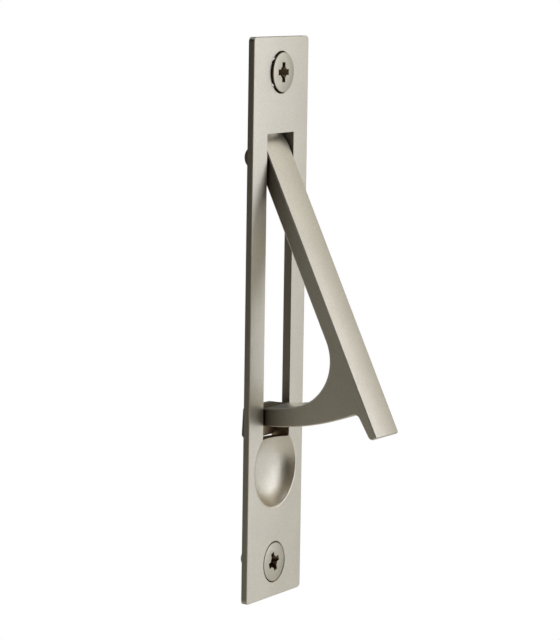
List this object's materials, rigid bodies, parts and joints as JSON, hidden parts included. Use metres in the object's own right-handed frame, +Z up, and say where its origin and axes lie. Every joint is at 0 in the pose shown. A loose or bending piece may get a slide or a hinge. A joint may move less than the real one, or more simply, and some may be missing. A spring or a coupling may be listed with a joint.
{
  "type": "edge pull",
  "caption": "Slim screwed faceplate for a sliding door's edge, with a finger dish and a pivoted bar that swings out of a long slot to pull the door.",
  "frame": {"origin": "centre of the plate's back face, midway between the two screws", "axes": "+X across the plate, +Y into the door's edge, +Z up along the door's edge"},
  "size_m": [0.019, 0.0292, 0.1016],
  "materials": {
    "satin_nickel": "satin nickel plate on brass",
    "steel_pin": "ground steel",
    "friction_washer": "rolled bronze strip",
    "screw_nickel": "satin nickel plate on steel"
  },
  "bodies": {
    "plate": {"faceplate": "satin_nickel", "pivot_pin": "steel_pin", "left_washer": "friction_washer", "right_washer": "friction_washer", "upper_screw": "screw_nickel", "lower_screw": "screw_nickel"},
    "lever": {"pull_lever": "satin_nickel", "stop_pin": "steel_pin"}
  },
  "joints": [
    {"name": "lever_swing", "type": "hinge", "parent": "plate", "child": "lever", "pos_m": [0, 0.00101, 0.0293], "axis": [1, 0, 0], "range_deg": [0, 23.2]}
  ]
}
